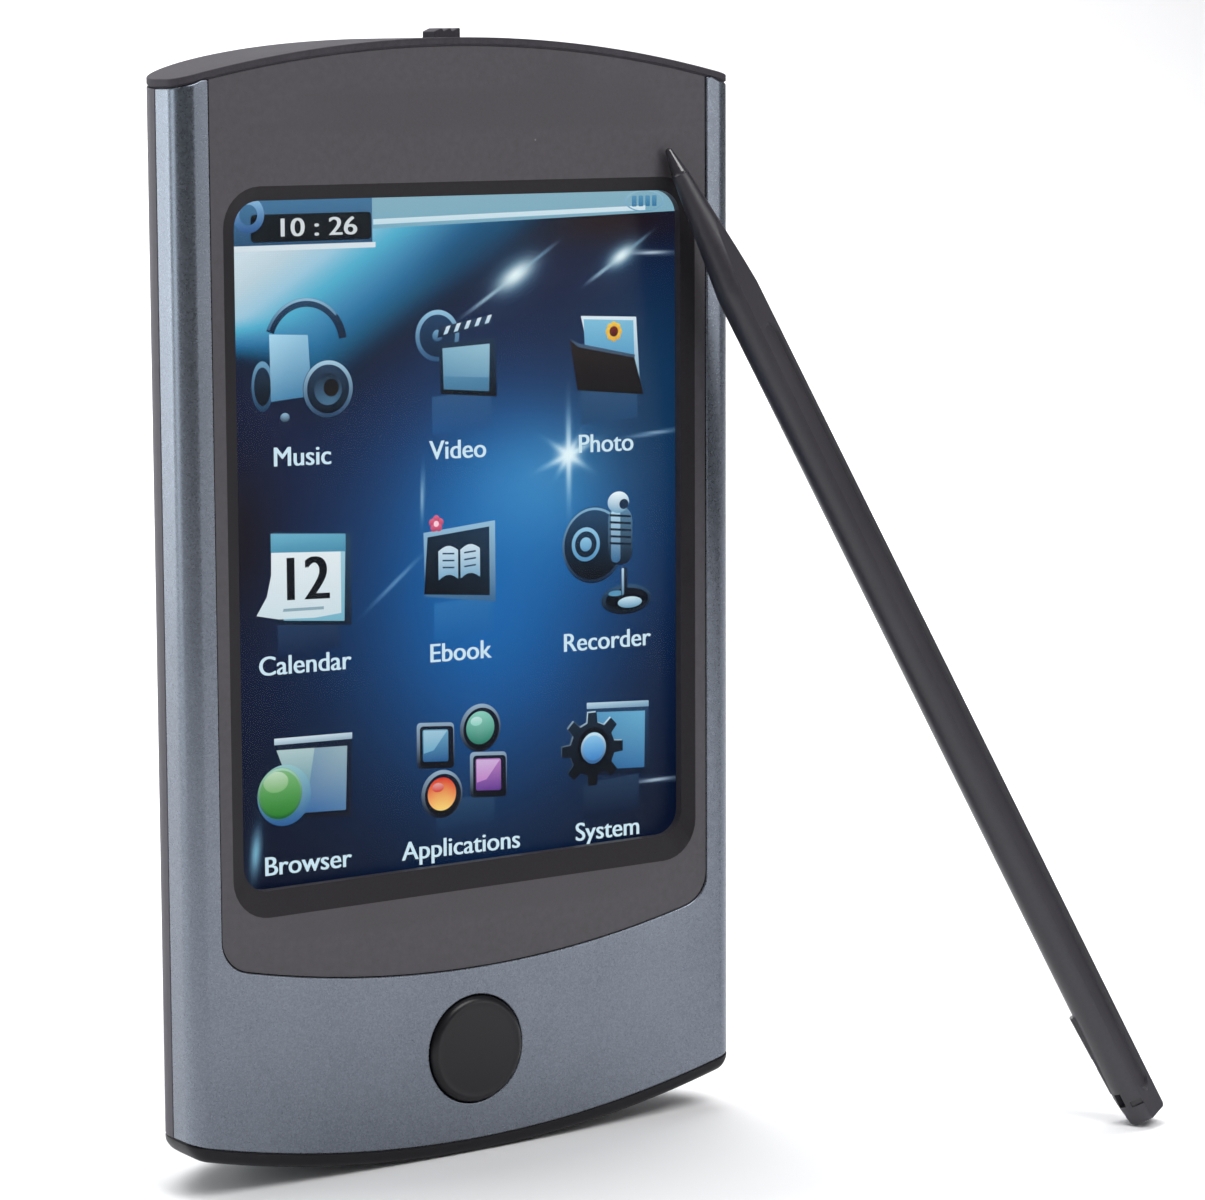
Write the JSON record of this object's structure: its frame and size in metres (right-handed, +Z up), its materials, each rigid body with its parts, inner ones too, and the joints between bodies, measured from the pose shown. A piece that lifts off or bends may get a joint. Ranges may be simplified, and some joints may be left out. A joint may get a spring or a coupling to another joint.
{
  "type": "personal digital assistant",
  "caption": "Pocket personal digital assistant with a touch screen, an arched top and base, a round home button and a hold switch, standing upright with its stylus leaning on it.",
  "frame": {"origin": "on the floor, at the middle of the small flat land under the base, halfway through the body's thickness", "axes": "+Z up the body, +X to the right as seen from the front, the screen faces -Y"},
  "size_m": [0.0837, 0.0419, 0.0972],
  "materials": {
    "front_frame": "satin metallic blue-grey lacquer",
    "front_panel": "satin dark grey with a fine fleck",
    "window_gasket": "matt black foam tape",
    "touch_panel": "clear touch film",
    "touch_flex": "amber film with copper tracks",
    "display_glass": "lit liquid crystal glass",
    "display_backlight": "white light guide",
    "display_tray": "bright sheet",
    "display_flex": "amber film with copper tracks",
    "chassis": "moulded black",
    "main_board": "green solder mask",
    "processor_chip": "moulded black",
    "memory_chip": "moulded black",
    "storage_chip": "moulded black",
    "power_chip": "moulded black",
    "audio_chip": "moulded black",
    "clock_crystal": "pressed can",
    "board_passives": "ceramic",
    "battery": "laminate pouch",
    "battery_pad": "foam",
    "battery_plug": "cream nylon",
    "battery_lead": "red and black insulation",
    "speaker": "black frame and cone",
    "speaker_mesh": "black woven mesh",
    "microphone": "pressed can",
    "headphone_jack": "black with metal contacts",
    "usb_socket": "plated shell",
    "card_socket": "plated shell",
    "hold_switch_base": "plated shell",
    "button_switch": "metal dome",
    "button_board": "green solder mask",
    "top_cap": "satin grey-mauve",
    "base_cap": "satin black",
    "rear_cover": "soft satin plum grey",
    "case_screws": "black oxide",
    "board_screws": "zinc plate",
    "home_button": "gloss rim and satin face",
    "hold_switch_knob": "satin black",
    "stylus_barrel": "black with a fine grain",
    "stylus_tip": "gloss black"
  },
  "bodies": {
    "case": {"front_frame": "front_frame", "front_panel": "front_panel", "window_gasket": "window_gasket", "touch_panel": "touch_panel", "touch_flex": "touch_flex", "display_glass": "display_glass", "display_backlight": "display_backlight", "display_tray": "display_tray", "display_flex": "display_flex", "chassis": "chassis", "main_board": "main_board", "processor_chip": "processor_chip", "memory_chip": "memory_chip", "storage_chip": "storage_chip", "power_chip": "power_chip", "audio_chip": "audio_chip", "clock_crystal": "clock_crystal", "board_passives": "board_passives", "battery": "battery", "battery_pad": "battery_pad", "battery_plug": "battery_plug", "battery_lead": "battery_lead", "speaker": "speaker", "speaker_mesh": "speaker_mesh", "microphone": "microphone", "headphone_jack": "headphone_jack", "usb_socket": "usb_socket", "card_socket": "card_socket", "hold_switch_base": "hold_switch_base", "button_switch": "button_switch", "button_board": "button_board", "top_cap": "top_cap", "base_cap": "base_cap", "rear_cover": "rear_cover", "case_screws": "case_screws", "board_screws": "board_screws"},
    "home_button": {"home_button": "home_button"},
    "hold_switch": {"hold_switch_knob": "hold_switch_knob"},
    "stylus": {"stylus_barrel": "stylus_barrel", "stylus_tip": "stylus_tip"}
  },
  "joints": [
    {"name": "home_button_press", "type": "slide", "parent": "case", "child": "home_button", "axis": [0, 1, 0], "range_m": [0, 0.0004], "stiffness_N_per_m": 2000},
    {"name": "hold_switch_slide", "type": "slide", "parent": "case", "child": "hold_switch", "axis": [-1, 0, 0], "range_m": [0, 0.0016]},
    {"name": "stylus_lift", "type": "slide", "parent": "case", "child": "stylus", "axis": [0, -0.6, 0.8], "range_m": [0, 0.05]}
  ]
}
